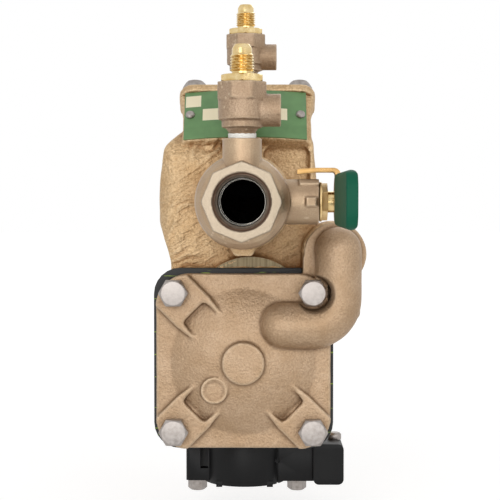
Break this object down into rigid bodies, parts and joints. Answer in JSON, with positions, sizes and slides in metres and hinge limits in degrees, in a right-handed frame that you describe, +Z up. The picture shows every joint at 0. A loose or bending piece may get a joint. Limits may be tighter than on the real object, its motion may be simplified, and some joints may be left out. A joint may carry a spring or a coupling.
{
  "type": "backflow preventer",
  "caption": "Reduced pressure zone backflow preventer with ball valves, leaning check covers, a bolted relief valve below, test cocks and a flood sensor",
  "frame": {"origin": "centre of the inlet mouth", "axes": "+Y with the flow from inlet to outlet, +Z up, +X the side of the levers, right as seen from the inlet"},
  "size_m": [0.1065, 0.499, 0.2699],
  "materials": {
    "cast_bronze": "sand cast",
    "cover_bronze": "sand cast",
    "valve_bronze": "tumbled casting",
    "yellow_brass": "machined",
    "zinc_steel": "zinc plated",
    "yellow_zinc": "yellow zinc plated",
    "chrome_ball": "polished",
    "white_ptfe": "smooth",
    "black_rubber": "moulded",
    "green_vinyl": "dipped",
    "green_plate": "printed sheet",
    "black_plastic": "moulded",
    "spring_steel": "drawn wire",
    "cream_acetal": "moulded"
  },
  "bodies": {
    "assembly": {"main_body": "cast_bronze", "first_check_cover": "cast_bronze", "second_check_cover": "cast_bronze", "check_cover_bolts": "zinc_steel", "check_cover_orings": "black_rubber", "first_check_seat": "valve_bronze", "second_check_seat": "valve_bronze", "first_check_spring": "spring_steel", "second_check_spring": "spring_steel", "relief_cover": "cover_bronze", "relief_cover_bolts": "zinc_steel", "relief_diaphragm": "black_rubber", "relief_seat": "valve_bronze", "relief_spring": "spring_steel", "sensing_oring": "black_rubber", "nameplate": "green_plate", "nameplate_rivets": "zinc_steel", "flood_sensor_housing": "black_plastic", "flood_sensor_gasket": "black_rubber", "flood_sensor_bolts": "zinc_steel", "flood_sensor_terminal": "zinc_steel", "inlet_valve_body": "valve_bronze", "inlet_valve_tailpiece": "valve_bronze", "outlet_valve_body": "valve_bronze", "outlet_valve_tailpiece": "valve_bronze", "ball_seats": "white_ptfe", "stem_packings": "white_ptfe", "packing_nuts": "yellow_brass", "test_cock_1_body": "valve_bronze", "test_cock_2_body": "valve_bronze", "test_cock_3_body": "valve_bronze", "test_cock_4_body": "valve_bronze", "test_cock_1_adapter": "yellow_brass", "test_cock_2_adapter": "yellow_brass", "test_cock_3_adapter": "yellow_brass", "test_cock_4_adapter": "yellow_brass", "thread_tape": "white_ptfe"},
    "first_poppet": {"first_check_poppet": "cream_acetal", "first_check_disc": "black_rubber"},
    "second_poppet": {"second_check_poppet": "cream_acetal", "second_check_disc": "black_rubber"},
    "relief_spindle": {"relief_stem": "yellow_brass", "relief_stem_nut": "zinc_steel", "relief_pressure_plate": "yellow_brass", "relief_piston": "cream_acetal", "relief_disc": "black_rubber"},
    "inlet_handle": {"inlet_ball": "chrome_ball", "inlet_stem": "yellow_brass", "inlet_lever": "yellow_zinc", "inlet_lever_grip": "green_vinyl", "inlet_lever_nut": "zinc_steel"},
    "outlet_handle": {"outlet_ball": "chrome_ball", "outlet_stem": "yellow_brass", "outlet_lever": "yellow_zinc", "outlet_lever_grip": "green_vinyl", "outlet_lever_nut": "zinc_steel"},
    "cock_1_rotor": {"test_cock_1_stem": "yellow_brass"},
    "cock_2_rotor": {"test_cock_2_stem": "yellow_brass"},
    "cock_3_rotor": {"test_cock_3_stem": "yellow_brass"},
    "cock_4_rotor": {"test_cock_4_stem": "yellow_brass"}
  },
  "joints": [
    {"name": "first_check_lift", "type": "slide", "parent": "assembly", "child": "first_poppet", "axis": [0, 0.6018, 0.7986], "range_m": [0, 0.009], "stiffness_N_per_m": 400, "springref_m": -0.02, "deforming": ["first_check_spring"]},
    {"name": "second_check_lift", "type": "slide", "parent": "assembly", "child": "second_poppet", "axis": [0, 0.6018, 0.7986], "range_m": [0, 0.009], "stiffness_N_per_m": 400, "springref_m": -0.02, "deforming": ["second_check_spring"]},
    {"name": "relief_stroke", "type": "slide", "parent": "assembly", "child": "relief_spindle", "axis": [0, 1, 0], "range_m": [0, 0.005], "stiffness_N_per_m": 1500, "springref_m": -0.02, "deforming": ["relief_spring", "relief_diaphragm"]},
    {"name": "inlet_lever_turn", "type": "hinge", "parent": "assembly", "child": "inlet_handle", "pos_m": [0, 0.035, 0], "axis": [-1, 0, 0], "range_deg": [0, 90]},
    {"name": "outlet_lever_turn", "type": "hinge", "parent": "assembly", "child": "outlet_handle", "pos_m": [0, 0.33, 0], "axis": [-1, 0, 0], "range_deg": [0, 90]},
    {"name": "cock_1_turn", "type": "hinge", "parent": "assembly", "child": "cock_1_rotor", "pos_m": [0, 0.018, 0.0418], "axis": [1, 0, 0], "range_deg": [0, 90]},
    {"name": "cock_2_turn", "type": "hinge", "parent": "assembly", "child": "cock_2_rotor", "pos_m": [0, 0.077, 0.0449], "axis": [0, -1, 0], "range_deg": [0, 90]},
    {"name": "cock_3_turn", "type": "hinge", "parent": "assembly", "child": "cock_3_rotor", "pos_m": [0, 0.1825, 0.0829], "axis": [1, 0, 0], "range_deg": [0, 90]},
    {"name": "cock_4_turn", "type": "hinge", "parent": "assembly", "child": "cock_4_rotor", "pos_m": [0, 0.288, 0.0449], "axis": [1, 0, 0], "range_deg": [0, 90]}
  ]
}
